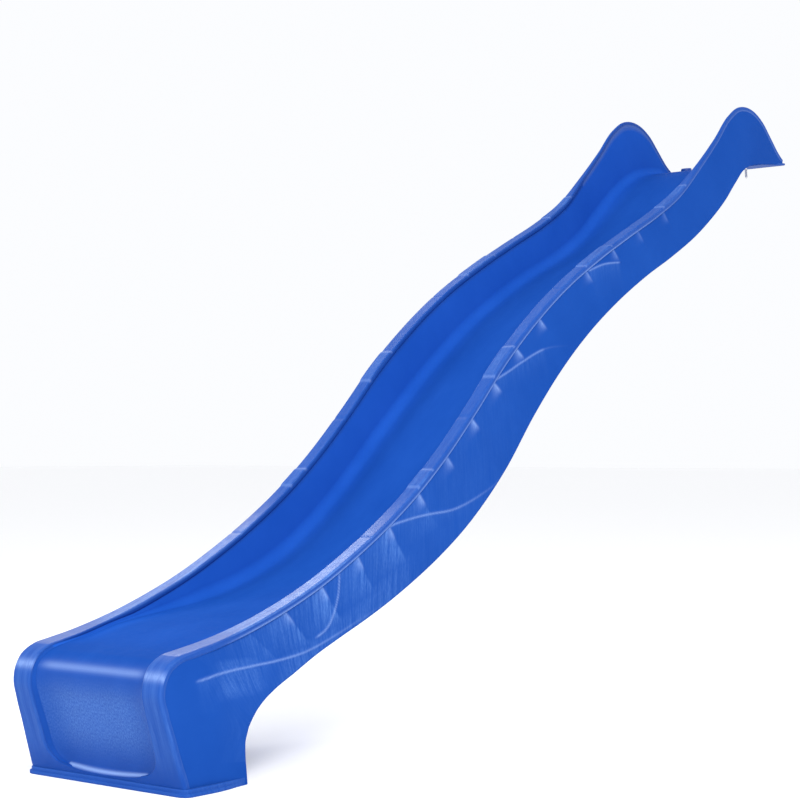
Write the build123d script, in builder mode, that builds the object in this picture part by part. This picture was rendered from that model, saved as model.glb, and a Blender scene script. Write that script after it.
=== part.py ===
from build123d import *
import math
import os

# One-piece moulded wave slide for a raised play platform.
# Millimetres, +Z up, +X down the slide (towards the exit), Y across it.
# The origin is the middle of the two fixing holes on the underside of the top
# lip, where the slide rests on the platform. The lip is tilted a little, so the
# screws stand square to it.

# ---------------------------------------------------------------- dimensions
PLATFORM_H = 1489.0     # from the ground under the foot to the lip's fixing holes
LIP_RUN = 2530.0        # from the foot's front edge back to the fixing holes
SKIN = 5.0              # wall of the moulding
LIP_OUT = 12.0          # height of the rim's outer lip
LIP_IN = 10.0           # height of the rim's inner lip
LIP_STEP = 3.5          # how far the rim stands out over the walls
DRAFT = 0.05            # draft of the chute's inner walls
FLOOR_R = 26.0          # radius between floor and inner walls
GUSSET_T = 4.0          # gussets between inner wall and skirt
GUSSET_H = 62.0
RIM_R = 3.5             # rounding of the rim's edges
STATION_STEP = 40.0     # spacing of the cross-sections along the rim
FOOT_STEP = 7.0         # spacing of cross-sections up the foot's front
SCOOP_TOP = 77.0        # height where the scoop's lower corners start to round
SCOOP_R = 50.0
LEDGE_W = (9.0, 5.0)    # two-step ledge round the foot: lower and upper step, sides
LEDGE_F = (12.0, 8.5)   # the same, front
LEDGE_H = (7.0, 14.0)
LEDGE_R = 20.0          # its front corners
LIP_TILT = math.degrees(math.atan(0.12))    # rise of the top lip to the rear
LIP_FRONT = 92.0        # lip plate, from the fixing holes down the slide
LIP_REAR = 78.0         # lip plate, from the fixing holes to its rear edge
LIP_HALF = 197.0        # lip plate, half width
LIP_T = 6.2             # lip plate, thickness
HOLE_SPAN = 200.0       # fixing holes, centre to centre
HOLE_R = 4.5
SCREW_R = 4.0           # coach screw, nominal M8
SCREW_L = 40.0          # under the head
NECK_R = 4.2
NECK_L = 8.2            # through washer and lip
HEAD_AF = 13.0
HEAD_H = 5.5
WASHER_R = 12.0
WASHER_H = 2.0
CAP_R = 16.5            # snap-on cover over head and washer
CAP_H = 13.0
CAP_T = 1.8

os.makedirs("parts", exist_ok=True)


def fx(x):
    """Run measured back from the foot's front edge, in the part's frame."""
    return LIP_RUN - x


def fz(z):
    """Height above the ground, in the part's frame."""
    return z - PLATFORM_H


# ------------------------------------------------------------ side profiles
# Chute floor in the vertical plane: up the scoop of the exit nose, over the
# nose, along the waves and over the crest on to the top lip (run, height).
FLOOR = [(4, -12), (4, 8), (5, 24), (5, 46), (0, 70), (-13, 108), (-31, 155), (-43, 186),
         (-43, 210), (-31, 229), (-10, 242), (18, 249), (60, 255.5), (120, 267), (171, 278),
         (230, 286.5), (296, 295), (389, 307), (485, 326), (586, 356), (656, 384), (709, 411),
         (765, 445), (821, 483), (879, 527), (938, 577), (999, 630), (1061, 684), (1126, 738),
         (1191, 791), (1259, 843), (1328, 892), (1399, 940), (1497, 998), (1600, 1052),
         (1700, 1100), (1800, 1143), (1900, 1188), (1985, 1234), (2046, 1274), (2108, 1320),
         (2170, 1366), (2234, 1410), (2299, 1446), (2360, 1468), (2430, 1482.7), (2510, 1492.3),
         (2620, 1505.5)]

# Stations: rim point and lower-edge point (run, height), then the half widths
# at the rim's outer edge, the rim's inner edge and the skirt's lower edge.
STATIONS = [
    (-2, 1, 160, 1, 207, 153, 212),
    (-5, 12, 159, 12, 206.5, 151.5, 211.8),
    (-10, 27, 158, 25, 206, 150, 211.5),
    (-22, 60, 156, 44, 204, 149, 211),
    (-37, 105, 156, 64, 202, 149, 210),
    (-54, 155, 158, 82, 200, 150, 209),
    (-62, 188, 163, 96, 199, 150, 208.5),
    (-57, 215, 169, 108, 199, 150, 208),
    (-42, 238, 176, 118, 199, 149, 208),
    (-14, 254, 185, 129, 199, 149, 208),
    (28, 262.5, 198, 141, 199, 152, 207.5),
    (75, 270.5, 218, 155, 199, 156, 207),
    (123, 281, 246, 170, 199, 160, 206.5),
    (208, 303.5, 302, 194, 198.6, 163, 206),
    (296, 332, 368, 223, 198.4, 164.5, 206),
    (389, 367.5, 446, 252, 198.2, 165, 206),
    (485, 412, 532, 283, 198, 165, 206.5),
    (586, 465, 633, 324, 197.8, 164.8, 207),
    (709, 540.5, 778, 394, 197.5, 164.5, 207.5),
    (821, 624, 905, 471, 197.3, 164.3, 208),
    (938, 726, 1040, 579, 197, 164, 208),
    (1061, 841, 1168, 711, 196.7, 163.7, 208),
    (1191, 943, 1286, 818, 196.5, 163.5, 207.5),
    (1328, 1034, 1410, 912, 196.2, 163.2, 207),
    (1497, 1125, 1567, 1009, 195.8, 162.8, 206.5),
    (1650, 1198, 1716, 1086, 195.5, 162.5, 206),
    (1800, 1267, 1860, 1151, 195.2, 162.8, 205.5),
    (1923, 1333, 1985, 1213, 195, 168, 205.5),
    (2046, 1427, 2100, 1283, 194.7, 180, 205.5),
    (2150, 1515, 2183, 1343, 194.5, 184.8, 205.5),
    (2234, 1592, 2248, 1400, 194.3, 186, 205),
    (2299, 1627, 2303, 1443, 194.2, 186, 204),
    (2350, 1634, 2350, 1462, 194.1, 186, 202.5),
    (2399, 1628, 2395, 1472, 194, 186, 201.5),
    (2450, 1608, 2443, 1479.5, 193.9, 186, 200),
    (2510, 1566, 2500, 1487, 193.8, 186, 198),
    (2560, 1530, 2552, 1493.5, 193.7, 186, 196),
    (2590, 1513.5, 2587, 1497.5, 193.6, 186, 194.5),
]


# Gussets inside the rim, by the run of the rim above them.
GUSSETS = [170, 276, 390, 508, 615, 720, 824, 921, 1010, 1105, 1207, 1316, 1426, 1560, 1690,
           1830]

# Underside of the top lip: origin at the fixing holes, local x down the slide.
lip_plane = Plane(origin=(0, 0, 0),
                  x_dir=(math.cos(math.radians(LIP_TILT)), 0, -math.sin(math.radians(LIP_TILT))),
                  z_dir=(math.sin(math.radians(LIP_TILT)), 0, math.cos(math.radians(LIP_TILT))))
lip_axis = Axis((0, 0, 0), lip_plane.z_dir)


def sample(edge, n):
    return [edge @ (i / n) for i in range(n + 1)]


def reach(o, u, pts):
    """Distance from o along the unit direction u to the chain pts."""
    best = None
    for p, q in zip(pts[:-1], pts[1:]):
        ex, ez = q[0] - p[0], q[1] - p[1]
        den = u[0] * ez - u[1] * ex
        if abs(den) < 1e-9:
            continue
        wx, wz = p[0] - o[0], p[1] - o[1]
        s = (wx * ez - wz * ex) / den
        t = (wx * u[1] - wz * u[0]) / den
        if -1e-6 <= t <= 1.000001 and s > 0 and (best is None or s < best):
            best = s
    return best


with BuildLine() as floor_line:
    Spline(*[(x, z) for x, z in FLOOR])
floor_pts = [(p.X, p.Y) for p in sample(floor_line.line.edges()[0], 600)]
under_pts = []
for i in range(len(floor_pts)):
    a = floor_pts[max(i - 1, 0)]
    b = floor_pts[min(i + 1, len(floor_pts) - 1)]
    dx, dz = b[0] - a[0], b[1] - a[1]
    m = math.hypot(dx, dz)
    under_pts.append((floor_pts[i][0] + SKIN * dz / m, floor_pts[i][1] - SKIN * dx / m))


def smooth_rows(rows, step):
    """Rows between the given ones, on a smooth curve through them all, about
    one step of rim apart."""
    t = [0.0]
    for p, q in zip(rows[:-1], rows[1:]):
        t.append(t[-1] + math.hypot(q[0] - p[0], q[1] - p[1]))
    last = len(rows) - 1

    def slope(i, k):
        if i == 0 or i == last:
            j = min(max(i, 1), last)
            return (rows[j][k] - rows[j - 1][k]) / (t[j] - t[j - 1])
        g0 = (rows[i][k] - rows[i - 1][k]) / (t[i] - t[i - 1])
        g1 = (rows[i + 1][k] - rows[i][k]) / (t[i + 1] - t[i])
        w0, w1 = t[i + 1] - t[i], t[i] - t[i - 1]
        return (w0 * g0 + w1 * g1) / (w0 + w1)

    out = []
    for i in range(last):
        n = max(1, round((t[i + 1] - t[i]) / (step if i > 3 else FOOT_STEP)))
        w = t[i + 1] - t[i]
        for j in range(n):
            s = j / n
            h00, h10 = 2 * s**3 - 3 * s**2 + 1, s**3 - 2 * s**2 + s
            h01, h11 = -2 * s**3 + 3 * s**2, s**3 - s**2
            out.append(tuple(h00 * rows[i][k] + h10 * w * slope(i, k) + h01 * rows[i + 1][k]
                             + h11 * w * slope(i + 1, k) for k in range(len(rows[0]))))
    out.append(rows[-1])
    return out


ROWS = smooth_rows(STATIONS, STATION_STEP)


def section(i):
    """Cross-section of the moulding at row i, as (y, n) points; n runs down
    from the rim along the line from rim to lower edge."""
    rx, rz, lx, lz, a, b, e = ROWS[i]
    h = math.hypot(lx - rx, lz - rz)
    u = ((lx - rx) / h, (lz - rz) / h)
    p, q = ROWS[max(i - 1, 0)], ROWS[min(i + 1, len(ROWS) - 1)]
    tx, tz = q[0] - p[0], q[1] - p[1]
    k = 1.0 / max(0.55, abs(u[0] * tz - u[1] * tx) / math.hypot(tx, tz))
    d = reach((rx, rz), u, floor_pts)
    g = reach((rx, rz), u, under_pts)
    if rx < 0 and rz < SCOOP_TOP:
        # Rounded lower corners of the scoop, and the shelf it ends on.
        drop = min(1.0, (SCOOP_TOP - rz) / SCOOP_R)
        b -= SCOOP_R * (1 - math.sqrt(1 - drop * drop))
        t = min(1.0, max(0.0, (rz - 18.5) / 8.0))
        d = 1.8 + (d - 1.8) * t * t * (3 - 2 * t)
        g = max(g, d + SKIN)
    lo = min(LIP_OUT * k, 0.45 * h)
    li = min(LIP_IN * k, 0.42 * d)
    # Towards the ears the rim narrows to a thin wall and its lips fade out.
    t = min(1.0, max(0.0, (rx - 1850.0) / 230.0))
    step = LIP_STEP * (1 - 0.86 * t * t * (3 - 2 * t))
    st = min(step, 0.3 * li)
    top = min(SKIN * k, 0.62 * (h - 2))
    r = min(FLOOR_R, 0.45 * (d - li))
    # The scoop on nose and foot has wide hollow corners in place of tight ones.
    t = min(1.0, max(0.0, (rx + 10.0) / 105.0)) if rz > 240 else 0.0
    rh = r + (min(SCOOP_R, 1.7 * d) - r) * (1 - t * t * (3 - 2 * t)) if rx < 95 else r
    rh = max(r, rh)
    iw = b + st                     # inner wall face under the inner lip
    ib = b + st - DRAFT * (d - li) - 1.0    # inner wall face at the floor
    sk = a - step                   # skirt face under the outer lip
    skin = min(SKIN, (sk - iw) / 2 - 0.3)
    slit = min(1.0, 0.3 * (sk - iw - 2 * skin))
    c = min(RIM_R, 0.3 * li)
    q = 0.29 * c
    half = [
        (ib - rh, d), (ib - 0.29 * rh, d - 0.29 * r), (ib, d - r),  # floor corner
        (iw, li + st), (b, li),
        (b, c), (b + q, q), (b + c, 0),                             # rim, inner edge
        (a - c, 0), (a - q, q), (a, c),                             # rim, outer edge
        (a, lo), (sk, lo + step),
        (e, h), (e - SKIN, h),
        (sk - skin, lo + step + 1.0), (sk - skin - slit, top),
        (iw + skin, top), (ib + skin, max(d - r, top + 0.35 * (g - top))),
        (ib + skin - 0.26 * (r + SKIN), max(g - 0.29 * (r + SKIN), top + 0.7 * (g - top))),
        (ib - r, g),
    ]
    plane = Plane(origin=(fx(rx), 0, fz(rz)), x_dir=(0, 1, 0), z_dir=(-u[1], 0, -u[0]))
    gap = (iw + skin, sk - skin - slit, top, h)
    return half, plane, gap


def between(run):
    """Station values at a given run of the rim, for the gussets."""
    for p, q in zip(ROWS[12:-1], ROWS[13:]):
        if p[0] <= run <= q[0]:
            t = (run - p[0]) / (q[0] - p[0])
            return tuple(u + t * (v - u) for u, v in zip(p, q))


# ------------------------------------------------------------------- chute
with BuildPart() as chute:
    # Skin of the channel: floor, inner walls, flat rim and outer skirts.
    for i in range(len(ROWS)):
        half, plane, gap = section(i)
        with BuildSketch(plane) as sec:
            with BuildLine():
                pts = [(y, -n) for y, n in half]
                Polyline(*pts, *[(-y, z) for y, z in reversed(pts)], close=True)
            make_face()
    loft(ruled=True)

    # Gussets inside the hollow rim, from rim and inner wall to skirt.
    for run in GUSSETS:
        rx, rz, lx, lz, a, b, e = between(run)
        h = math.hypot(lx - rx, lz - rz)
        u = ((lx - rx) / h, (lz - rz) / h)
        y0, y1 = b + LIP_STEP + SKIN - 1.5, a - LIP_STEP - SKIN + 0.5
        side = [(y0, -SKIN), (y1, -SKIN), (y1 + DRAFT * GUSSET_H, -SKIN - GUSSET_H),
                (y1 - 3, -SKIN - GUSSET_H), (y0, -SKIN - 0.45 * GUSSET_H)]
        plane = Plane(origin=(fx(rx), 0, fz(rz)), x_dir=(0, 1, 0), z_dir=(-u[1], 0, -u[0]))
        with BuildSketch(plane) as web:
            with BuildLine():
                Polyline(*side, close=True)
            make_face()
            mirror(about=Plane.YZ)
    extrude(amount=GUSSET_T / 2, both=True)

    # Two-step ledge round the front and the sides of the foot.
    for w, wf, hh in zip(LEDGE_W, LEDGE_F, LEDGE_H):
        with BuildSketch(Plane.XY.offset(fz(0))) as ledge:
            with BuildLine():
                o = Polyline((fx(155), 211.5), (fx(60), 212 + w), (fx(-wf), 208 + w),
                             (fx(-wf), -208 - w), (fx(60), -212 - w), (fx(155), -211.5),
                             (fx(155), -209.4), (fx(60), -206.8), (fx(2.4), -204.6),
                             (fx(2.4), 204.6), (fx(60), 206.8), (fx(155), 209.4), close=True)
            make_face()
            corners = ledge.vertices().sort_by(Axis.X)[-2:]
            fillet(corners, radius=LEDGE_R)
        extrude(amount=hh)

    # Top lip: a flat plate under the ears that runs on past them.
    with BuildSketch(lip_plane) as lip:
        with BuildLine():
            Polyline((LIP_FRONT, -LIP_HALF + 3), (LIP_FRONT, LIP_HALF - 3), (-LIP_REAR, LIP_HALF),
                     (-LIP_REAR, -LIP_HALF), close=True)
        make_face()
        fillet(lip.vertices().sort_by(Axis.X)[:2], radius=12)
    extrude(amount=LIP_T)
    with BuildSketch(lip_plane) as holes:
        with GridLocations(0, HOLE_SPAN, 1, 2):
            Circle(HOLE_R)
    extrude(amount=3 * SKIN, both=True, mode=Mode.SUBTRACT)

# ------------------------------------------------------------------ fixings
# Two coach screws stand in the lip with a washer under each head; a snap-on
# cover hides each head.
lip_top = lip_plane.offset(LIP_T)
head_seat = lip_top.offset(WASHER_H)

with BuildPart() as washers:
    with BuildSketch(lip_top) as ring:
        with GridLocations(0, HOLE_SPAN, 1, 2):
            Circle(WASHER_R)
            Circle(SCREW_R + 0.4, mode=Mode.SUBTRACT)
    extrude(amount=WASHER_H)

with BuildPart() as screws:
    with BuildSketch(head_seat) as hexagons:
        with GridLocations(0, HOLE_SPAN, 1, 2):
            RegularPolygon(HEAD_AF / 2, 6, major_radius=False)
    extrude(amount=HEAD_H)
    chamfer(screws.faces().sort_by(lip_axis)[-2:].edges(), length=0.8)
    # A slightly thicker neck goes through washer and lip.
    with BuildSketch(head_seat) as necks:
        with GridLocations(0, HOLE_SPAN, 1, 2):
            Circle(NECK_R)
    extrude(amount=-NECK_L)
    with BuildSketch(head_seat) as shanks:
        with GridLocations(0, HOLE_SPAN, 1, 2):
            Circle(SCREW_R)
    extrude(amount=-SCREW_L)
    chamfer(screws.faces().sort_by(lip_axis)[:2].edges(), length=SCREW_R - 1.0)

with BuildPart() as screw_caps:
    with BuildSketch(lip_top) as domes:
        with GridLocations(0, HOLE_SPAN, 1, 2):
            Circle(CAP_R)
    extrude(amount=CAP_H)
    fillet(screw_caps.faces().sort_by(lip_axis)[-2:].edges(), radius=4)
    with BuildSketch(lip_top) as hollows:
        with GridLocations(0, HOLE_SPAN, 1, 2):
            Circle(CAP_R - CAP_T)
    extrude(amount=CAP_H - CAP_T, mode=Mode.SUBTRACT)

chute.part.label = "chute"
washers.part.label = "screw_washers"
screws.part.label = "platform_screws"
screw_caps.part.label = "screw_caps"
for piece in (chute, washers, screws, screw_caps):
    export_step(piece.part, f"parts/{piece.part.label}.step")
    print(piece.part.label, len(piece.part.solids()), piece.part.is_valid,
          round(piece.part.volume), piece.part.bounding_box())
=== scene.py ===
import math
import bpy
import bmesh
import numpy as np
from mathutils import Matrix, Vector


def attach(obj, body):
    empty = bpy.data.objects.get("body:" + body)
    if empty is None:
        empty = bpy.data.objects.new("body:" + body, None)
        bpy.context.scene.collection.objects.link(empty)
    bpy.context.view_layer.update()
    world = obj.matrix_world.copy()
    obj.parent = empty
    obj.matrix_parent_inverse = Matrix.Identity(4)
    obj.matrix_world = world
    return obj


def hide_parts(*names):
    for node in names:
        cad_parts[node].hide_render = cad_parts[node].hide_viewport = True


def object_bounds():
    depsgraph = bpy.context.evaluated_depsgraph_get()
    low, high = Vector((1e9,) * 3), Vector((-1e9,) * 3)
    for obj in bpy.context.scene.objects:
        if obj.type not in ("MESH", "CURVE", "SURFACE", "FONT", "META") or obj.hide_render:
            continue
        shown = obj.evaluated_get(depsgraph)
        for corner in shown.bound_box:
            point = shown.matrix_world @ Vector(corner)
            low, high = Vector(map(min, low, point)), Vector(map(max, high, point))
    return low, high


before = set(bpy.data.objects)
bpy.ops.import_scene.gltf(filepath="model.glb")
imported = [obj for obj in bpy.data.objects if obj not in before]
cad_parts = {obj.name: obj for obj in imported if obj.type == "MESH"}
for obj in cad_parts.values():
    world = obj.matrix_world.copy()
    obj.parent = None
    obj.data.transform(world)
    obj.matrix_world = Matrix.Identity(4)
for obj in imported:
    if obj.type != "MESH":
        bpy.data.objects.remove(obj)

CAD_BOX = [list(v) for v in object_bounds()]

# ------------------------------------------------------------------ sizes (mm)
PLATFORM_H, LIP_RUN, SKIN = 1489.0, 2530.0, 5.0
LIP_OUT, LIP_IN, LIP_STEP, DRAFT, FLOOR_R, RIM_R = 12.0, 10.0, 3.5, 0.05, 26.0, 3.5
GUSSET_T, GUSSET_H = 4.0, 62.0
TILT = math.atan(0.12)

FLOOR = [(4, -12), (4, 8), (5, 24), (5, 46), (0, 70), (-13, 108), (-31, 155), (-43, 186),
         (-43, 210), (-31, 229), (-10, 242), (18, 249), (60, 255.5), (120, 267), (171, 278),
         (230, 286.5), (296, 295), (389, 307), (485, 326), (586, 356), (656, 384), (709, 411),
         (765, 445), (821, 483), (879, 527), (938, 577), (999, 630), (1061, 684), (1126, 738),
         (1191, 791), (1259, 843), (1328, 892), (1399, 940), (1497, 998), (1600, 1052),
         (1700, 1100), (1800, 1143), (1900, 1188), (1985, 1234), (2046, 1274), (2108, 1320),
         (2170, 1366), (2234, 1410), (2299, 1446), (2360, 1468), (2430, 1482.7), (2510, 1492.3),
         (2620, 1505.5)]
STATIONS = [
    (-2, 1, 160, 1, 207, 153, 212),
    (-5, 12, 159, 12, 206.5, 151.5, 211.8),
    (-10, 27, 158, 25, 206, 150, 211.5),
    (-22, 60, 156, 44, 204, 149, 211),
    (-37, 105, 156, 64, 202, 149, 210),
    (-54, 155, 158, 82, 200, 150, 209),
    (-62, 188, 163, 96, 199, 150, 208.5),
    (-57, 215, 169, 108, 199, 150, 208),
    (-42, 238, 176, 118, 199, 149, 208),
    (-14, 254, 185, 129, 199, 149, 208),
    (28, 262.5, 198, 141, 199, 152, 207.5),
    (75, 270.5, 218, 155, 199, 156, 207),
    (123, 281, 246, 170, 199, 160, 206.5),
    (208, 303.5, 302, 194, 198.6, 163, 206),
    (296, 332, 368, 223, 198.4, 164.5, 206),
    (389, 367.5, 446, 252, 198.2, 165, 206),
    (485, 412, 532, 283, 198, 165, 206.5),
    (586, 465, 633, 324, 197.8, 164.8, 207),
    (709, 540.5, 778, 394, 197.5, 164.5, 207.5),
    (821, 624, 905, 471, 197.3, 164.3, 208),
    (938, 726, 1040, 579, 197, 164, 208),
    (1061, 841, 1168, 711, 196.7, 163.7, 208),
    (1191, 943, 1286, 818, 196.5, 163.5, 207.5),
    (1328, 1034, 1410, 912, 196.2, 163.2, 207),
    (1497, 1125, 1567, 1009, 195.8, 162.8, 206.5),
    (1650, 1198, 1716, 1086, 195.5, 162.5, 206),
    (1800, 1267, 1860, 1151, 195.2, 162.8, 205.5),
    (1923, 1333, 1985, 1213, 195, 168, 205.5),
    (2046, 1427, 2100, 1283, 194.7, 180, 205.5),
    (2150, 1515, 2183, 1343, 194.5, 184.8, 205.5),
    (2234, 1592, 2248, 1400, 194.3, 186, 205),
    (2299, 1627, 2303, 1443, 194.2, 186, 204),
    (2350, 1634, 2350, 1462, 194.1, 186, 202.5),
    (2399, 1628, 2395, 1472, 194, 186, 201.5),
    (2450, 1608, 2443, 1479.5, 193.9, 186, 200),
    (2510, 1566, 2500, 1487, 193.8, 186, 198),
    (2560, 1530, 2552, 1493.5, 193.7, 186, 196),
    (2590, 1513.5, 2587, 1497.5, 193.6, 186, 194.5),
]
GUSSETS = [170, 276, 390, 508, 615, 720, 824, 921, 1010, 1105, 1207, 1316, 1426, 1560, 1690,
           1830]
# Rim segments that stand a little proud of the rest (run from, run to, height).
RAISED = [(724, 775, 2.2), (1016, 1100, 2.4), (1430, 1556, 2.0), (1835, 1960, 1.6)]
GROOVES = [556, 917, 1316, 1690]
# Fine relief lines on the skirts, as (run, height) chains.
RELIEF = [
    [(25, 204), (97, 214), (175, 219), (253, 223), (334, 232), (414, 253), (520, 287), (648, 330)],
    [(596, 457), (617, 467), (684, 482), (760, 492), (839, 499), (945, 530), (1006, 556), (1060, 600)],
    [(1019, 790), (1080, 815), (1139, 841), (1229, 874), (1353, 889)],
    [(1440, 1078), (1519, 1103), (1600, 1115)],
    [(456, 387), (443, 329), (405, 274), (364, 255)],
]


def P(x, y, z):
    """Run, across and height in millimetres to the row frame in metres."""
    return ((LIP_RUN - x) / 1000.0, y / 1000.0, (z - PLATFORM_H) / 1000.0)


def hermite(rows, step, extra=()):
    """Rows between the given ones, on a smooth curve through them all."""
    rows = [tuple(map(float, r)) for r in rows]
    t = [0.0]
    for p, q in zip(rows[:-1], rows[1:]):
        t.append(t[-1] + math.hypot(q[0] - p[0], q[1] - p[1]))
    last = len(rows) - 1

    def slope(i, k):
        if i == 0 or i == last:
            j = min(max(i, 1), last)
            return (rows[j][k] - rows[j - 1][k]) / (t[j] - t[j - 1])
        g0 = (rows[i][k] - rows[i - 1][k]) / (t[i] - t[i - 1])
        g1 = (rows[i + 1][k] - rows[i][k]) / (t[i + 1] - t[i])
        w0, w1 = t[i + 1] - t[i], t[i] - t[i - 1]
        return (w0 * g0 + w1 * g1) / (w0 + w1)

    out = []
    for i in range(last):
        w = t[i + 1] - t[i]
        n = max(1, round(w / step))
        if i < 3:
            n = max(n, round(w / 1.5))
        for j in range(n):
            s = j / n
            h00, h10 = 2 * s**3 - 3 * s**2 + 1, s**3 - 2 * s**2 + s
            h01, h11 = -2 * s**3 + 3 * s**2, s**3 - s**2
            out.append(tuple(h00 * rows[i][k] + h10 * w * slope(i, k) + h01 * rows[i + 1][k]
                             + h11 * w * slope(i + 1, k) for k in range(len(rows[0]))))
    out.append(rows[-1])
    return out


def reach(o, u, pts):
    best = None
    for p, q in zip(pts[:-1], pts[1:]):
        ex, ez = q[0] - p[0], q[1] - p[1]
        den = u[0] * ez - u[1] * ex
        if abs(den) < 1e-9:
            continue
        wx, wz = p[0] - o[0], p[1] - o[1]
        s = (wx * ez - wz * ex) / den
        t = (wx * u[1] - wz * u[0]) / den
        if -1e-6 <= t <= 1.000001 and s > 0 and (best is None or s < best):
            best = s
    return best


def smoothstep(a, b, x):
    t = min(1.0, max(0.0, (x - a) / (b - a)))
    return t * t * (3 - 2 * t)


STEP = 4.0
ROWS = hermite(STATIONS, STEP)
FLOOR_PTS = hermite([(x, z) for x, z in FLOOR], 6.0)
UNDER_PTS = []
for i in range(len(FLOOR_PTS)):
    a_, b_ = FLOOR_PTS[max(i - 1, 0)], FLOOR_PTS[min(i + 1, len(FLOOR_PTS) - 1)]
    dx, dz = b_[0] - a_[0], b_[1] - a_[1]
    m_ = math.hypot(dx, dz)
    UNDER_PTS.append((FLOOR_PTS[i][0] + SKIN * dz / m_, FLOOR_PTS[i][1] - SKIN * dx / m_))


def arc(cx, cy, r, a0, a1, n):
    """Points of an arc; angles in degrees, 0 along +y, 90 along +n (down)."""
    return [(cx + r * math.cos(math.radians(a0 + (a1 - a0) * i / n)),
             cy + r * math.sin(math.radians(a0 + (a1 - a0) * i / n))) for i in range(n + 1)]


def line(p, q, n):
    """n points from p towards q, leaving q out."""
    return [(p[0] + (q[0] - p[0]) * i / n, p[1] + (q[1] - p[1]) * i / n) for i in range(n)]


N_SKIRT = 44


def rim_lift(run, front):
    if front:
        return 0.0
    v = 0.0
    for x0, x1, hh in RAISED:
        v += hh * smoothstep(x0 - 3, x0 + 4, run) * (1 - smoothstep(x1 - 4, x1 + 3, run))
    for x0 in GROOVES:
        v -= 1.3 * math.exp(-((run - x0) / 3.5) ** 2)
    return v


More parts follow.
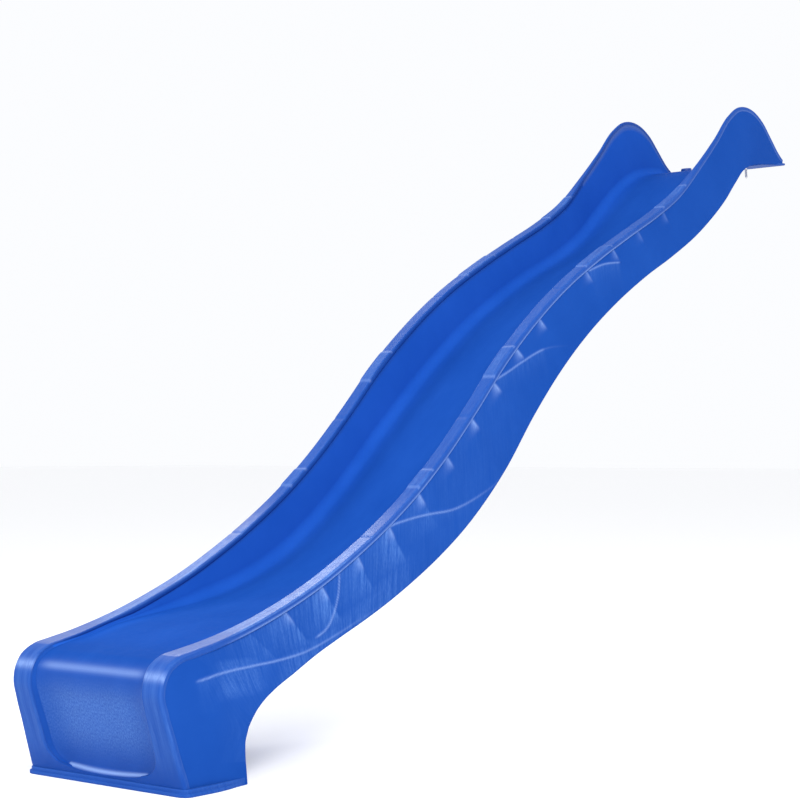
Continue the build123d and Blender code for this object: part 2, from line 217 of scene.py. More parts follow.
def half_section(i):
    """Half cross-section at row i: (y, n, tag) from the middle of the floor
    round the rim and the skirt to the middle of the underside."""
    rx, rz, lx, lz, a, b, e = ROWS[i]
    h = math.hypot(lx - rx, lz - rz)
    u = ((lx - rx) / h, (lz - rz) / h)
    p, q = ROWS[max(i - 1, 0)], ROWS[min(i + 1, len(ROWS) - 1)]
    tx, tz = q[0] - p[0], q[1] - p[1]
    k = 1.0 / max(0.55, abs(u[0] * tz - u[1] * tx) / math.hypot(tx, tz))
    d = reach((rx, rz), u, FLOOR_PTS)
    g = reach((rx, rz), u, UNDER_PTS)
    front = rx < 40 and rz < 262
    wf = 1.0 - smoothstep(-10, 95, rx) if rz > 240 else 1.0   # 1 on the nose and foot
    if rx < 0 and rz < 77:
        # rounded lower corners, and the sagging shelf that closes the scoop
        drop = min(1.0, max(0.0, (77 - rz) / 49.0))
        b = b - 50 * (1 - math.sqrt(max(0.0, 1 - drop * drop)))
        if rz < 28:
            q = min(1.0, (28 - rz) / 8.5)
            b = max(2.0, b * math.sqrt(max(0.0, 1 - q * q)))
        d = 0.04 + (d - 0.04) * smoothstep(18.5, 31.0, rz)
        g = max(g, d + 5.0)
    lo = min(LIP_OUT * k, 0.45 * h)
    li = min(LIP_IN * k, 0.42 * d)
    step = LIP_STEP * (1 - 0.86 * smoothstep(1850, 2080, rx))
    st = min(step, 0.3 * li)
    top = min(SKIN * k, 0.62 * (h - 2))
    r = min(FLOOR_R, 0.45 * (d - li))
    c = min(RIM_R, 0.3 * li)
    co = min(RIM_R, 0.3 * lo)
    li = li + wf * (min(6.0, 0.36 * d) - li)
    st = st * (1 - wf)
    r = r + wf * (min(20.0, 0.56 * (d - li)) - r)
    c = c + wf * (min(5.0, 0.8 * li) - c)
    co = co + wf * (min(7.0, 0.5 * lo) - co)
    iw = b + st
    ib = b + st - DRAFT * (d - li) - min(1.0, 0.3 * d) - wf * min(5.0, 0.3 * d)
    rh = min(r + wf * (min(48.0, 1.9 * d) - r), 0.8 * ib)
    sk = a - step * (1 - 0.62 * wf)
    skin = min(SKIN, (sk - iw) / 2 - 0.3)
    slit = min(1.0, 0.3 * (sk - iw - 2 * skin))
    c = min(c, 0.38 * (a - b))
    co = min(co, 0.38 * (a - b))
    s = min(0.9, 0.1 * li)
    up = rim_lift(rx, front)
    pts = []
    pts += [(y, n, "floor") for y, n in line((0, d), (ib - rh, d), 12)]
    pts += [(ib - rh + (y - ib + rh) * 1.0, n, "floor")
            for y, n in ((ib - rh + rh * math.cos(t_), d - r + r * math.sin(t_))
                         for t_ in (math.radians(90 - 86 * j_ / 11) for j_ in range(12)))]
    pts += [(y, n, "wall") for y, n in line((ib, d - r - min(0.5, 0.02 * d)), (iw, li + st + s), 8)]
    pts += [(y, n, "lip") for y, n in line((iw, li + st + s), (b + s * 0.3, li + s * 0.4), 3)]
    pts += [(y, n, "lip") for y, n in line((b, li - s), (b, c), 2)]
    pts += [(y, n, "rim") for y, n in arc(b + c, c, c, 180, 270, 5)]
    pts += [(y, n, "rim") for y, n in line((b + c + min(1.2, 0.1 * c), 0), (a - co - min(1.2, 0.1 * co), 0), 6)]
    pts += [(y, n, "rim") for y, n in arc(a - co, co, co, 270, 360, 5)]
    pts += [(y, n, "lip") for y, n in line((a, co + 0.6), (a, lo - s), 2)]
    pts += [(y, n, "lip") for y, n in line((a - s * 0.3, lo + s * 0.4), (sk, lo + step), 3)]
    sy, sn = sk, lo + step + 0.4
    er = 2.0
    pts += [(y, n, "skirt") for y, n in line((sy, sn), (e, h - er), N_SKIRT)]
    pts += [(y, n, "edge") for y, n in arc(e - er, h - er, er, 0, 90, 3)]
    pts += [(y, n, "edge") for y, n in arc(e - SKIN + er, h - er, er, 90, 180, 3)]
    pts += [(y, n, "in") for y, n in line((e - SKIN, h - er - 0.6), (sk - skin - slit, top), 9)]
    t2 = max(d - r, top + 0.35 * (g - top))
    t3 = max(g - 0.29 * (r + SKIN), top + 0.7 * (g - top))
    pts += [(y, n, "in") for y, n in line((sk - skin - slit, top), (iw + skin, top), 3)]
    pts += [(y, n, "in") for y, n in line((iw + skin, top), (ib + skin, t2), 5)]
    pts += [(y, n, "in") for y, n in line((ib + skin, t2), (ib + skin - 0.26 * (r + SKIN), t3), 3)]
    pts += [(y, n, "in") for y, n in line((ib + skin - 0.26 * (r + SKIN), t3), (ib - r, g), 3)]
    pts += [(y, n, "in") for y, n in line((ib - r, g), (0, g), 8)]
    pts.append((0, g, "in"))
    if up:
        pts = [(y, n - up if t == "rim" else (n - up * 0.5 if t == "lip" and n < 4 else n), t)
               for y, n, t in pts]
    return pts, u, h, lo, k


def chain_distance(x, z, chain):
    """Signed distance to a chain (positive above it) and how far along."""
    best, sg, along = 1e9, 1.0, 0.0
    n = len(chain) - 1
    for j, (p, q) in enumerate(zip(chain[:-1], chain[1:])):
        ex, ez = q[0] - p[0], q[1] - p[1]
        L2 = ex * ex + ez * ez
        t = min(1.0, max(0.0, ((x - p[0]) * ex + (z - p[1]) * ez) / L2))
        ddx, ddz = x - p[0] - t * ex, z - p[1] - t * ez
        dd = math.hypot(ddx, ddz)
        if dd < best:
            best, sg, along = dd, (1.0 if ex * ddz - ez * ddx > 0 else -1.0), (j + t) / n
    return best * sg, along


RELIEF_S = []
for ch in RELIEF:
    ch = [(p[0], p[1]) for p in hermite([(x, z) for x, z in ch], 25.0)]
    RELIEF_S.append((ch, (min(p[0] for p in ch) - 40, max(p[0] for p in ch) + 40,
                          min(p[1] for p in ch) - 60, max(p[1] for p in ch) + 60)))


# strength of the painted highlight patch under the rim at each gusset run
HIGHLIGHT_PATCHES = {170: 0.40, 276: 0.75, 390: 0.95, 508: 0.70, 615: 0.85, 720: 0.42}
# strength of the painted glint fan under the rim at each gusset run
GLINT_FANS = {508: 0.8, 720: 0.9, 824: 0.8, 921: 1.0, 1010: 1.0, 1105: 1.0, 1207: 0.9, 1426: 0.7,
          1560: 0.6, 276: 0.7, 390: 0.8, 615: 0.8, 1690: 0.35, 1830: 0.35}


def skirt_relief(x, z, n, lo, rim_run):
    """How far the skirt stands out at a point, and the painted highlight patches and painted glints on it."""
    v, hl_paint, gl = 0.0, 0.0, 0.0
    for ch, (x0, x1, z0, z1) in RELIEF_S:
        if not (x0 < x < x1 and z0 < z < z1):
            continue
        dd, al = chain_distance(x, z, ch)
        fade = smoothstep(0.0, 0.08, al) * (1 - smoothstep(0.9, 1.0, al))
        v += fade * 0.9 * math.exp(-(dd / 3.6) ** 2)
        # painted glint along the relief line, painted highlight below it
        gl = max(gl, 0.46 * fade * math.exp(-(dd / 2.1) ** 2))
        if dd < 0:
            hl_paint = max(hl_paint, 0.28 * fade * math.exp(dd / 26))
    t = n - lo
    for gx in GUSSETS:
        s = rim_run - gx
        if abs(s) > 150:
            continue
        if abs(s) < 60 and t < 100:
            fall = (1 - smoothstep(26, 62, t)) * smoothstep(0, 4, t)
            v += fall * (1.3 * math.exp(-((s - 0.16 * t) / 4.2) ** 2)
                         - 0.8 * math.exp(-((s + 13) / 13.0) ** 2) * (1 - smoothstep(10, 55, t)))
            cr = GLINT_FANS.get(gx, 0.0)
            if cr:
                # a small painted glint fan under the rim, crisp on its rear edge
                q = (s - 0.20 * t)
                fan = (math.exp(-(q / 3.0) ** 2) if q > 0 else math.exp(q / (4 + 0.22 * t)))
                gl = max(gl, 0.62 * cr * fan * smoothstep(0, 5, t) * (1 - smoothstep(16, 40, t)))
        pa = HIGHLIGHT_PATCHES.get(gx, 0.0)
        if pa:
            q = (gx + 0.22 * t) - rim_run
            if q > -3:
                hl_paint = max(hl_paint, pa * smoothstep(-3, 3, q) * math.exp(-max(q, 0) / 66)
                         * smoothstep(-2, 9, t) * (1 - smoothstep(58, 118, t)))
    # softer painted highlight low on the front part of the skirt
    hl_paint = max(hl_paint, 0.42 * smoothstep(60, 120, x) * (1 - smoothstep(170, 260, x))
             * smoothstep(150, 185, z) * (1 - smoothstep(228, 246, z)))
    hl_paint = max(hl_paint, 0.40 * smoothstep(210, 300, x) * (1 - smoothstep(600, 760, x))
             * smoothstep(60, 100, t))
    hl_paint = max(hl_paint, 0.10 * smoothstep(60, 160, x) * (1 - smoothstep(900, 1300, x)))
    return v, hl_paint, gl


def material(name):
    m = bpy.data.materials.new(name)
    m.use_nodes = True
    nt = m.node_tree
    nt.nodes.clear()
    out = nt.nodes.new("ShaderNodeOutputMaterial")
    bsdf = nt.nodes.new("ShaderNodeBsdfPrincipled")
    nt.links.new(bsdf.outputs[0], out.inputs[0])
    return m, nt, bsdf


def math_node(nt, op, a, b):
    n = nt.nodes.new("ShaderNodeMath")
    n.operation = op
    for k, v in enumerate((a, b)):
        if hasattr(v, "links"):
            nt.links.new(v, n.inputs[k])
        else:
            n.inputs[k].default_value = v
    return n.outputs[0]


def ranged(nt, v, f0, f1, t0, t1):
    n = nt.nodes.new("ShaderNodeMapRange")
    n.inputs["From Min"].default_value = f0
    n.inputs["From Max"].default_value = f1
    n.inputs["To Min"].default_value = t0
    n.inputs["To Max"].default_value = t1
    nt.links.new(v, n.inputs["Value"])
    return n.outputs[0]


def noise(nt, vec, scale, detail=3.0, rough=0.5):
    n = nt.nodes.new("ShaderNodeTexNoise")
    n.inputs["Scale"].default_value = scale
    n.inputs["Detail"].default_value = detail
    n.inputs["Roughness"].default_value = rough
    nt.links.new(vec, n.inputs["Vector"])
    return n.outputs["Fac"]


def stretched(nt, vec, scale):
    n = nt.nodes.new("ShaderNodeMapping")
    n.inputs["Scale"].default_value = scale
    nt.links.new(vec, n.inputs["Vector"])
    return n.outputs[0]


def mixed(nt, fac, a, b):
    n = nt.nodes.new("ShaderNodeMix")
    n.data_type = "RGBA"
    nt.links.new(fac, n.inputs["Factor"])
    nt.links.new(a, n.inputs["A"])
    n.inputs["B"].default_value = (*b, 1)
    return n.outputs["Result"]


def attr(nt, name, out="Fac"):
    n = nt.nodes.new("ShaderNodeAttribute")
    n.attribute_name = name
    return n.outputs[out]


def plastic(name, deep, light, body=True):
    """Blue moulded polyethylene: mottled colour, scuffs, painted highlight patches and painted glints broken
    into flow streaks, and painted lightening where the body would lie in shade.
    """
    m, nt, bsdf = material(name)
    N, L = nt.nodes, nt.links
    obj = N.new("ShaderNodeTexCoord").outputs["Object"]
    big = noise(nt, stretched(nt, obj, (1.0, 2.2, 1.0)), 5.5, 4.0, 0.6)
    fine = noise(nt, obj, 210.0, 3.0)
    mott = noise(nt, obj, 70.0, 6.0, 0.7)
    ramp = N.new("ShaderNodeValToRGB")
    ramp.color_ramp.elements[0].position = 0.30
    ramp.color_ramp.elements[0].color = (*deep, 1)
    ramp.color_ramp.elements[1].position = 0.72
    ramp.color_ramp.elements[1].color = (*light, 1)
    L.new(big, ramp.inputs["Fac"])
    col = ramp.outputs["Color"]
    rough = ranged(nt, mott, 0.3, 0.7, 0.32, 0.46)
    if body:
        st = attr(nt, "flow", "Vector")
        streak = noise(nt, stretched(nt, st, (150.0, 11.0, 1.0)), 1.0, 5.0, 0.68)
        grain = noise(nt, stretched(nt, st, (420.0, 120.0, 1.0)), 1.0, 3.0, 0.6)
        sf = math_node(nt, "MULTIPLY", ranged(nt, streak, 0.36, 0.68, 0.18, 1.0),
                       ranged(nt, grain, 0.30, 0.62, 0.45, 1.0))
        # painted highlight patches and painted glints, broken into flow streaks and grain, mixed into the
        # colour
        hl_paint = math_node(nt, "MULTIPLY", attr(nt, "painted_highlight"), sf)
        col = mixed(nt, hl_paint, col, PAINTED_HIGHLIGHT_BLUE)
        gl = math_node(nt, "MULTIPLY", attr(nt, "glint"), ranged(nt, grain, 0.25, 0.6, 0.55, 1.0))
        col = mixed(nt, gl, col, GLINT)
        scr = noise(nt, stretched(nt, obj, (4.0, 260.0, 4.0)), 1.0, 5.0, 0.7)
        wr = math_node(nt, "MULTIPLY", attr(nt, "wear"), ranged(nt, scr, 0.60, 0.80, 0.0, 0.5))
        col = mixed(nt, wr, col, SCUFF)
        gloss = attr(nt, "gloss")
        rough = math_node(nt, "ADD", math_node(nt, "MULTIPLY", gloss, -0.24),
                          ranged(nt, mott, 0.3, 0.7, 0.50, 0.64))
        L.new(math_node(nt, "ADD", math_node(nt, "MULTIPLY", gloss, 0.28), 0.04),
              bsdf.inputs["Specular IOR Level"])
        L.new(math_node(nt, "ADD", math_node(nt, "MULTIPLY", gloss, 0.36), 1.10), bsdf.inputs["IOR"])
    if body:
        # painted lightening: the colour is scaled up where the inner walls and floor would lie in shade
        painted_fill_light = N.new("ShaderNodeVectorMath")
        painted_fill_light.operation = "SCALE"
        L.new(col, painted_fill_light.inputs[0])
        L.new(math_node(nt, "ADD", attr(nt, "painted_fill_light"), 1.0), painted_fill_light.inputs["Scale"])
        col = painted_fill_light.outputs[0]
    L.new(col, bsdf.inputs["Base Color"])
    L.new(rough, bsdf.inputs["Roughness"])
    b1 = N.new("ShaderNodeBump")
    b1.inputs["Strength"].default_value = 0.10
    b1.inputs["Distance"].default_value = 0.0012
    L.new(mott, b1.inputs["Height"])
    b2 = N.new("ShaderNodeBump")
    b2.inputs["Strength"].default_value = 0.14
    b2.inputs["Distance"].default_value = 0.0004
    L.new(fine, b2.inputs["Height"])
    L.new(b1.outputs[0], b2.inputs["Normal"])
    L.new(b2.outputs[0], bsdf.inputs["Normal"])
    if not body:
        bsdf.inputs["IOR"].default_value = 1.5
    return m


def zinc(name):
    m, nt, bsdf = material(name)
    N, L = nt.nodes, nt.links
    tex = N.new("ShaderNodeTexCoord")
    vor = N.new("ShaderNodeTexVoronoi")
    vor.inputs["Scale"].default_value = 420.0
    L.new(tex.outputs["Object"], vor.inputs["Vector"])
    noi = N.new("ShaderNodeTexNoise")
    noi.inputs["Scale"].default_value = 240.0
    noi.inputs["Detail"].default_value = 5.0
    L.new(tex.outputs["Object"], noi.inputs["Vector"])
    ramp = N.new("ShaderNodeValToRGB")
    ramp.color_ramp.elements[0].color = (0.42, 0.43, 0.46, 1)
    ramp.color_ramp.elements[1].color = (0.72, 0.73, 0.75, 1)
    L.new(vor.outputs["Distance"], ramp.inputs["Fac"])
    L.new(ramp.outputs[0], bsdf.inputs["Base Color"])
    mr = N.new("ShaderNodeMapRange")
    mr.inputs["To Min"].default_value = 0.24
    mr.inputs["To Max"].default_value = 0.5
    L.new(noi.outputs["Fac"], mr.inputs["Value"])
    L.new(mr.outputs[0], bsdf.inputs["Roughness"])
    bsdf.inputs["Metallic"].default_value = 1.0
    bp = N.new("ShaderNodeBump")
    bp.inputs["Strength"].default_value = 0.2
    bp.inputs["Distance"].default_value = 0.0002
    L.new(noi.outputs["Fac"], bp.inputs["Height"])
    L.new(bp.outputs[0], bsdf.inputs["Normal"])
    return m


# the first two colours are painted highlight colours: broad painted highlight patches and thin painted glints
PAINTED_HIGHLIGHT_BLUE, GLINT, SCUFF = (0.088, 0.205, 0.53), (0.24, 0.36, 0.66), (0.020, 0.085, 0.37)
BLUE = plastic("moulded_blue", (0.0068, 0.050, 0.270), (0.0092, 0.059, 0.300))
CAP_BLUE = plastic("cap_blue", (0.0068, 0.048, 0.262), (0.0092, 0.057, 0.290), body=False)
ZINC = zinc("zinc_plate")


def smooth_object(name, verts, faces, mat, attrs=None, angle=38):
    me = bpy.data.meshes.new(name)
    me.from_pydata(verts, [], faces)
    me.update()
    for key, vals in (attrs or {}).items():
        arr = np.array(vals, np.float32)
        if arr.ndim == 2:
            at = me.attributes.new(key, "FLOAT_VECTOR", "POINT")
            at.data.foreach_set("vector", arr.ravel())
        else:
            at = me.attributes.new(key, "FLOAT", "POINT")
            at.data.foreach_set("value", arr)
    me.polygons.foreach_set("use_smooth", [True] * len(me.polygons))
    me.materials.append(mat)
    o = bpy.data.objects.new(name, me)
    bpy.context.scene.collection.objects.link(o)
    bm = bmesh.new()
    bm.from_mesh(me)
    bmesh.ops.recalc_face_normals(bm, faces=bm.faces)
    bm.to_mesh(me)
    bm.free()
    me.set_sharp_from_angle(angle=math.radians(angle))
    return o


# ------------------------------------------------------------------- the body
verts, faces = [], []
AT = {"painted_highlight": [], "wear": [], "gloss": [], "glint": [], "flow": [], "painted_fill_light": []}


def traits(x, y, z, n, tag, i, lo):
    """Outward relief and surface traits of one outline point."""
    rx, rz = ROWS[i][0], ROWS[i][1]
    dy, hl_paint, gl, wr, gs, fill_paint = 0.0, 0.0, 0.0, 0.0, 0.45, 0.0
    flow = (rx / 1000 + 0.5 * n / 1000, n / 1000, 0.0)
    low = rz < 255 and rx < 40
    if tag in ("skirt", "edge"):
        if not (low and rz < 60):
            dy, hl_paint, gl = skirt_relief(x, z, n, lo, rx)
            if low and rx < -30:
                dy = 0.0
        gs = 0.10
    elif tag == "floor":
        nose = 1.0 - smoothstep(0, 110, x)
        # painted lightening of the floor, stronger near the walls, in place of its shade
        fill_paint = (1 - nose) * (0.10 + 0.30 * smoothstep(105, 160, abs(y)))
        wr = 0.8 * (1 - smoothstep(90, 150, abs(y))) * (1 - nose)
        gs = 0.03 + 0.5 * (1.0 - smoothstep(225, 243, z) if x < 60 else 0.0)
        if low:
            # painted highlight on the scoop panel, painted glints along the shelf and across the nose
            hl_paint = 0.85 * smoothstep(26, 110, z) * (1 - smoothstep(150, 212, z)) * (1 - 0.55 * smoothstep(60, 145, abs(y)))
            flow = (y / 420 + 0.2, z / 50, 0.0)
            gl = 0.95 * math.exp(-((z - 24 - 4 * (y / 100) ** 2) / 2.8) ** 2) if abs(y) < 104 else 0.0
            gl = max(gl, 0.42 * math.exp(-((z - 220) / 6.5) ** 2) * (1 - smoothstep(110, 155, abs(y))))
    elif tag == "wall":
        gs = 0.05 + (0.3 if low else 0.0)
        # painted lightening of the inner walls in place of their shade
        fill_paint = 0.0 if low else 0.40
    elif tag == "rim":
        gs = 0.48 if low else 0.9 - 0.5 * smoothstep(560, 720, rx)
        flow = (y / 1500, rx / 1000, 0.0)
        # painted highlight along the rim top and on the raised blocks, painted glints at the blocks' ends
        hl_paint = 0.75 * smoothstep(95, 175, rx) * (1 - smoothstep(500, 640, rx))
        for x0, x1, hh in RAISED:
            hl_paint = max(hl_paint, 0.42 * smoothstep(x0 - 4, x0 + 4, rx) * (1 - smoothstep(x1 - 4, x1 + 4, rx)))
            gl = max(gl, 0.3 * math.exp(-((rx - x0) / 3.0) ** 2), 0.3 * math.exp(-((rx - x1) / 3.0) ** 2))
        hl_paint = max(hl_paint, 0.20 * (1 - 0.7 * smoothstep(1900, 2080, rx)))
        if low:
            hl_paint = 0.30 * smoothstep(20, 80, rz)
            gl = 0.55 * math.exp(-((rz - 221) / 8.0) ** 2)
    elif tag == "lip":
        gs = 0.5
        # light painted highlight on the lips, and a painted glint along the outer lip's lower edge
        hl_paint = 0.10
        if y > 180 and lo * 0.82 < n < lo + 1.5 and not low:
            gl = 0.5 * smoothstep(70, 200, rx) * (1 - 0.6 * smoothstep(1500, 2100, rx))
    return dy, hl_paint, gl, wr, gs, flow, fill_paint


def add_tube():
    """The channel's skin as rows of one closed outline."""
    base = len(verts)
    count = None
    for i in range(len(ROWS)):
        pts, u, h, lo, k = half_section(i)
        rx, rz = ROWS[i][0], ROWS[i][1]
        right = []
        for y, n, tag in pts:
            x, z = rx + u[0] * n, rz + u[1] * n
            dy, hl_paint, gl, wr, gs, flow, fill_paint = traits(x, y, z, n, tag, i, lo)
            right.append((x, y + dy, z, hl_paint, wr, gs, gl, flow, fill_paint))
        loop = right + [(p[0], -p[1]) + p[2:] for p in reversed(right[1:-1])]
        count = len(loop)
        for x, y, z, hl_paint, wr, gs, gl, flow, fill_paint in loop:
            verts.append(P(x, y, z))
            AT["painted_highlight"].append(hl_paint)
            AT["wear"].append(wr)
            AT["gloss"].append(gs)
            AT["glint"].append(gl)
            AT["flow"].append(flow)
            AT["painted_fill_light"].append(fill_paint)
    nrow = len(ROWS)
    for i in range(nrow - 1):
        for j in range(count):
            j2 = (j + 1) % count
            faces.append((base + i * count + j, base + i * count + j2,
                          base + (i + 1) * count + j2, base + (i + 1) * count + j))
    # close the two ends with strips between the outer and inner halves
    half = count // 2 + 1
    for i in (0, nrow - 1):
        s0 = base + i * count
        out_n = len([1 for p in half_section(i)[0] if p[2] != "in"])
        in_idx = list(range(out_n, half))
        outer = list(range(0, out_n))
        # walk both halves from the skirt's edge to the middle
        a_ = outer[::-1]
        b_ = in_idx
        pairs = []
        ia, ib = 0, 0
        while ia < len(a_) - 1 or ib < len(b_) - 1:
            if ib >= len(b_) - 1 or (ia < len(a_) - 1 and (ia + 1) * len(b_) <= (ib + 1) * len(a_)):
                pairs.append((a_[ia], a_[ia + 1], b_[ib]))
                ia += 1
            else:
                pairs.append((a_[ia], b_[ib + 1], b_[ib]))
                ib += 1
        for t in pairs:
            faces.append(tuple(s0 + v for v in t))
            faces.append(tuple(s0 + (count - v) % count for v in t))


add_tube()


# extra parts get an even light painted highlight and the given gloss
def add_part(vs, fs, hl_paint=0.22, gs=0.4):
    base = len(verts)
    verts.extend(vs)
    AT["painted_highlight"].extend([hl_paint] * len(vs))
    AT["wear"].extend([0.0] * len(vs))
    AT["gloss"].extend([gs] * len(vs))
    AT["glint"].extend([0.0] * len(vs))
    AT["flow"].extend([(v[0], v[2], v[1]) for v in vs])
    AT["painted_fill_light"].extend([0.0] * len(vs))
    faces.extend([tuple(base + v for v in f) for f in fs])


def add_ledge():
    """Two-step ledge round the foot, faded out along the sides."""
    path = []
    for t in np.linspace(0, 1, 14):
        path.append((155 - 95 * t, 211.5 - 0.4 * t))
    for t in np.linspace(0, 1, 8)[1:]:
        path.append((60 - 48 * t, 211.1 - 3.1 * t))
    side = [(x, y) for x, y in path]
    # (step, share of the way out, height); step 0 inner, 1 lower, 2 upper
    prof = [(0, 0, 0.0), (1, 0.2, 0.0), (1, 0.88, 0.0), (1, 0.97, 0.4), (1, 1.0, 1.4), (1, 1.0, 5.6),
            (1, 0.96, 6.6), (1, 0.86, 7.0), (2, 1.12, 7.2), (2, 1.02, 7.7), (2, 1.0, 8.6),
            (2, 1.0, 12.4), (2, 0.94, 13.5), (2, 0.80, 14.1), (2, 0.0, 14.3), (0, 0, 14.3)]
    ring = []
    for x, y in side:
        f = 1 - smoothstep(75, 156, x)
        ring.append(((x, y), (0.0, 1.0), (max(9.0 * f, 0.06), max(5.0 * f, 0.04))))
    cx, cy = 11.0, 197.0
    for t in np.linspace(0, 1, 14)[1:]:
        ang = math.pi / 2 * (1 - t)
        nx, ny = -math.cos(ang), math.sin(ang)
        ring.append(((cx + nx * 11.0, cy + ny * 11.0), (nx, ny), (9.0 + 3.0 * t, 5.0 + 3.5 * t)))
    for t in np.linspace(0, 1, 40)[1:]:
        ring.append(((0.0, 197.0 * (1 - t)), (-1.0, 0.0), (12.0, 8.5)))
    full = ring + [((x, -y), (nx, -ny), wd) for (x, y), (nx, ny), wd in reversed(ring[:-1])]
    vs, fs = [], []
    m = len(prof)
    for (x, y), (nx, ny), wd in full:
        for step_, q, z in prof:
            off = q * wd[step_ - 1] if step_ else -2.2
            vs.append(P(x + nx * off, y + ny * off, z))
    for i in range(len(full) - 1):
        for j in range(m):
            j2 = (j + 1) % m
            fs.append((i * m + j, i * m + j2, (i + 1) * m + j2, (i + 1) * m + j))
    fs.append(tuple(range(m)))
    fs.append(tuple(reversed(range((len(full) - 1) * m, len(full) * m))))
    add_part(vs, fs)


add_ledge()


def lip_point(x, y, z):
    """A point on the lip's own axes (mm from the fixing centre) to metres."""
    c, s = math.cos(TILT), math.sin(TILT)
    return ((x * c + z * s) / 1000, y / 1000, (-x * s + z * c) / 1000)


def add_lip():
    """Thin plate with rounded edges and rounded rear corners."""
    th, er = 6.2, 2.0
    out = []
    X0, X1, Y = -78.0, 92.0, 197.0
    R = 12.0
    for t in np.linspace(0, 1, 9):
        a_ = math.pi / 2 * t
        out.append((X0 + R - R * math.cos(a_), Y - R + R * math.sin(a_)))
    for t in np.linspace(0, 1, 20)[1:]:
        out.append((X0 + R + (X1 - X0 - R) * t, Y - 3 * t))
    outline = out + [(x, -y) for x, y in reversed(out)]
    n = len(outline)
    prof = []
    for t in np.linspace(0, 1, 5):
        a_ = math.pi / 2 * t
        prof.append((er - er * math.sin(a_), er - er * math.cos(a_)))
    for t in np.linspace(0, 1, 5):
        a_ = math.pi / 2 * t
        prof.append((er - er * math.cos(a_), th - er + er * math.sin(a_)))
    vs, fs = [], []
    cen = (X1 - 80, 0.0)
    for ins, z in prof:
        for x, y in outline:
            dx_, dy_ = cen[0] - x, cen[1] - y
            L_ = math.hypot(dx_, dy_)
            vs.append(lip_point(x + ins * dx_ / L_, y + ins * dy_ / L_, z))
    m = len(prof)
    for j in range(m - 1):
        for i in range(n):
            i2 = (i + 1) % n
            fs.append((j * n + i, j * n + i2, (j + 1) * n + i2, (j + 1) * n + i))
    fs.append(tuple(reversed(range(n))))
    fs.append(tuple(range((m - 1) * n, m * n)))
    add_part(vs, fs)


add_lip()


def between(run):
    for p, q in zip(ROWS[12:-1], ROWS[13:]):
        if p[0] <= run <= q[0] and p[0] > 60:
            t = (run - p[0]) / (q[0] - p[0])
            return tuple(u + t * (v - u) for u, v in zip(p, q))


def add_gussets():
    for run in GUSSETS:
        rx, rz, lx, lz, a, b, e = between(run)
        h = math.hypot(lx - rx, lz - rz)
        u = ((lx - rx) / h, (lz - rz) / h)
        nx, nz = -u[1], u[0]
        y0, y1 = b + LIP_STEP + SKIN - 1.5, a - LIP_STEP - SKIN + 0.5
        H = GUSSET_H
        prof = [(y0, SKIN - 0.5), (y1, SKIN - 0.5), (y1 + DRAFT * H, SKIN + H),
                (y1 - 2.0, SKIN + H + 0.8), (y1 - 6.0, SKIN + 0.92 * H),
                (y0 + 3.0, SKIN + 0.55 * H), (y0, SKIN + 0.45 * H)]
        for sgn in (1, -1):
            vs = []
            for off, ins in ((-2.0, 0.7), (-1.3, 0.0), (1.3, 0.0), (2.0, 0.7)):
                for y, n in prof:
                    n2 = n - (ins if n > SKIN + 5 else 0)
                    vs.append(P(rx + u[0] * n2 + nx * off, sgn * y, rz + u[1] * n2 + nz * off))
            m = len(prof)
            fs = []
            for s_ in range(3):
                for j in range(m):
                    j2 = (j + 1) % m
                    fs.append((s_ * m + j, s_ * m + j2, (s_ + 1) * m + j2, (s_ + 1) * m + j))
            fs.append(tuple(reversed(range(m))))
            fs.append(tuple(range(3 * m, 4 * m)))
            add_part(vs, fs)


add_gussets()

lo_c, hi_c = Vector(CAD_BOX[0]), Vector(CAD_BOX[1])
verts = [tuple(min(max(v[k], lo_c[k] + 1e-5), hi_c[k] - 1e-5) for k in range(3)) for v in verts]
body = smooth_object("slide_body", verts, faces, BLUE, AT, 42)
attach(body, "root")
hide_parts("chute")


# ---------------------------------------------------------------- the fixings
def lathe(prof, y0, n=48):
    """Closed revolved mesh about the lip's normal at across-position y0."""
    vs, fs = [], []
    for r_, z in prof:
        for i in range(n):
            t = 2 * math.pi * i / n
            vs.append(lip_point(r_ * math.cos(t), y0 + r_ * math.sin(t), z))
    for j in range(len(prof) - 1):
        for i in range(n):
            i2 = (i + 1) % n
            fs.append((j * n + i, j * n + i2, (j + 1) * n + i2, (j + 1) * n + i))
    return vs, fs


def two(fn, name, mat, node, angle=35):
    vs, fs = [], []
    for y0 in (-100.0, 100.0):
        v1, f1 = fn(y0)
        b_ = len(vs)
        vs += v1
        fs += [tuple(b_ + k for k in f) for f in f1]
    o = smooth_object(name, vs, fs, mat, None, angle)
    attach(o, "root")
    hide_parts(node)
    return o


Z0 = 6.2


def washer(y0):
    r0, r1, z0, z1, c = 4.4, 12.0, Z0, Z0 + 2.0, 0.3
    prof = [(r0 + c, z0), (r1 - c, z0), (r1, z0 + c), (r1, z1 - c), (r1 - c, z1), (r0 + c, z1),
            (r0, z1 - c), (r0, z0 + c), (r0 + c, z0)]
    return lathe(prof, y0, 64)


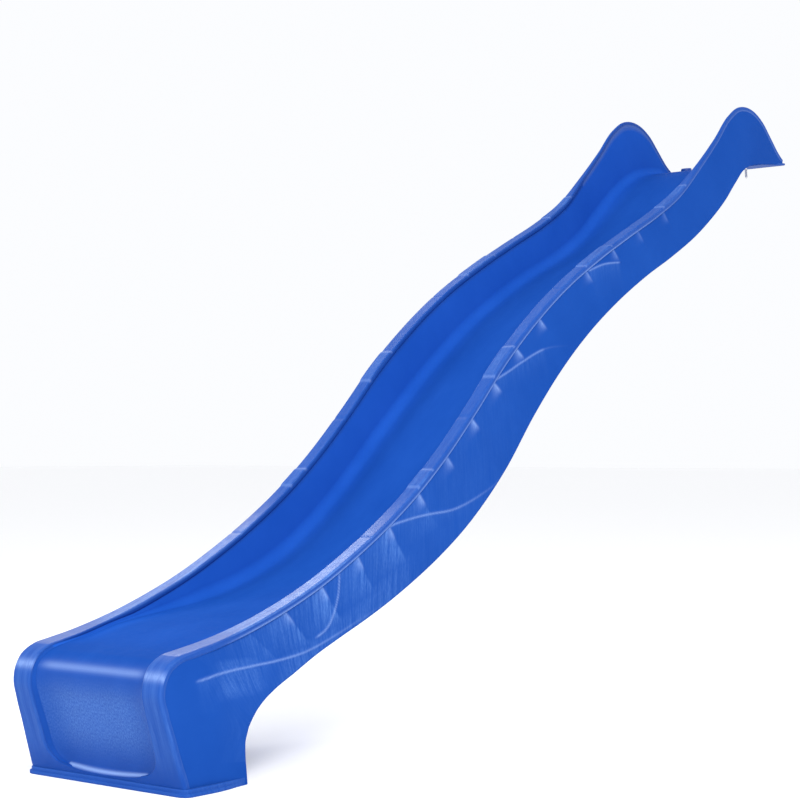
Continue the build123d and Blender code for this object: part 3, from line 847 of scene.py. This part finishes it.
def screw(y0):
    z = Z0 + 2.0
    prof = [(0.05, z - 40.0), (1.0, z - 39.6), (3.0, z - 36.6)]
    zz = z - 36.0
    while zz < z - 14:
        prof += [(3.05, zz), (4.0, zz + 1.2), (4.0, zz + 1.5), (3.05, zz + 2.7)]
        zz += 3.0
    prof += [(3.9, zz + 1.0), (3.9, z - 0.2), (3.9, z + 0.01)]
    vs, fs = lathe(prof, y0, 40)
    R = 13.0 / 2 / math.cos(math.pi / 6)
    base = len(vs)
    rings = []
    n = 60
    for z_, shrink in ((z, 0.0), (z + 0.15, 0.0), (z + 4.3, 0.0), (z + 5.0, 0.35), (z + 5.5, 1.1)):
        for i in range(n):
            t = 2 * math.pi * i / n
            s6 = (t + math.pi / 6) % (math.pi / 3) - math.pi / 6
            rr = 6.5 / math.cos(s6)
            rr = min(rr, R - 0.25) - shrink * (rr - 5.4) / (R - 5.4)
            rings.append(lip_point(rr * math.cos(t), y0 + rr * math.sin(t), z_))
    vs += rings
    for j in range(4):
        for i in range(n):
            i2 = (i + 1) % n
            fs.append((base + j * n + i, base + j * n + i2, base + (j + 1) * n + i2, base + (j + 1) * n + i))
    fs.append(tuple(base + i for i in reversed(range(n))))
    fs.append(tuple(base + 4 * n + i for i in range(n)))
    return vs, fs


def cap(y0):
    R, H, T = 16.5, 13.0, 1.8
    prof = [(R - T, Z0)]
    prof += [(R - 0.4, Z0), (R, Z0 + 0.4), (R, Z0 + 3.0), (R - 0.35, Z0 + 3.4), (R - 0.35, Z0 + 3.8),
             (R - 0.1, Z0 + 4.2), (R - 0.1, Z0 + H - 4.2)]
    for t in np.linspace(0, 1, 9)[1:]:
        a_ = math.pi / 2 * t
        prof.append((R - 4.1 + 4.0 * math.cos(a_), Z0 + H - 4.2 + 4.0 * math.sin(a_)))
    prof += [(6.0, Z0 + H - 0.05), (0.02, Z0 + H)]
    prof += [(0.02, Z0 + H - T), (R - T - 1.0, Z0 + H - T), (R - T, Z0 + H - T - 1.0), (R - T, Z0)]
    return lathe(prof, y0, 64)


two(washer, "washers", ZINC, "screw_washers")
two(screw, "screws", ZINC, "platform_screws")
two(cap, "caps", CAP_BLUE, "screw_caps", 30)

# ------------------------------------------------------- floor, light, camera
floor_z = -PLATFORM_H / 1000
me = bpy.data.meshes.new("studio_floor")
S = 60.0
me.from_pydata([(-S, -S, floor_z), (S, -S, floor_z), (S, S, floor_z), (-S, S, floor_z)], [], [(0, 1, 2, 3)])
floor = bpy.data.objects.new("studio_floor", me)
bpy.context.scene.collection.objects.link(floor)
fm, fnt, fb = material("pale_floor")
fb.inputs["Base Color"].default_value = (0.97, 0.97, 0.975, 1)
fb.inputs["Roughness"].default_value = 0.9
fb.inputs["Specular IOR Level"].default_value = 0.1
me.materials.append(fm)

world = bpy.data.worlds.new("studio")
world.use_nodes = True
bg = world.node_tree.nodes["Background"]
bg.inputs["Color"].default_value = (0.97, 0.98, 1.0, 1)
bg.inputs["Strength"].default_value = 1.0
bpy.context.scene.world = world


def area(name, loc, target, size, power, color=(1, 1, 1)):
    ld = bpy.data.lights.new(name, "AREA")
    ld.shape = "RECTANGLE"
    ld.size, ld.size_y = size
    ld.energy = power
    ld.color = color
    o = bpy.data.objects.new(name, ld)
    bpy.context.scene.collection.objects.link(o)
    o.location = loc
    d_ = Vector(target) - Vector(loc)
    o.rotation_euler = d_.to_track_quat("-Z", "Y").to_euler()
    return o


area("fill", (4.6, 3.8, 2.8), (1.4, 0, -0.8), (3.0, 3.0), 330)
area("rim_strip", (0.1, -2.4, 1.5), (2.1, 0, -1.1), (1.6, 0.8), 26)
area("nose_strip", (3.5, -1.7, 0.7), (2.56, 0, -1.27), (0.8, 0.8), 18)
area("scoop", (5.2, -1.8, -0.5), (2.5, 0, -1.35), (1.2, 1.2), 14)

cam_d = bpy.data.cameras.new("camera")
cam = bpy.data.objects.new("camera", cam_d)
bpy.context.scene.collection.objects.link(cam)
F_PX, YAW, PITCH, ROLL = 1743.97, 0.64525, 0.030511, 0.0
cam_d.sensor_width = 36.0
cam_d.lens = 36.0 * F_PX / 800.0
cam_d.clip_end = 200
fwd = Vector((-math.cos(YAW) * math.cos(PITCH), -math.sin(YAW) * math.cos(PITCH), math.sin(PITCH)))
right = Vector((-math.sin(YAW), math.cos(YAW), 0.0))
up = right.cross(fwd)
M = Matrix((right, up, -fwd)).transposed().to_4x4()
M.translation = Vector((4.8411, 2.4306, -0.8647))
cam.matrix_world = M
bpy.context.scene.camera = cam
vs_ = bpy.context.scene.view_settings
vs_.view_transform = "Standard"
vs_.look = "None"
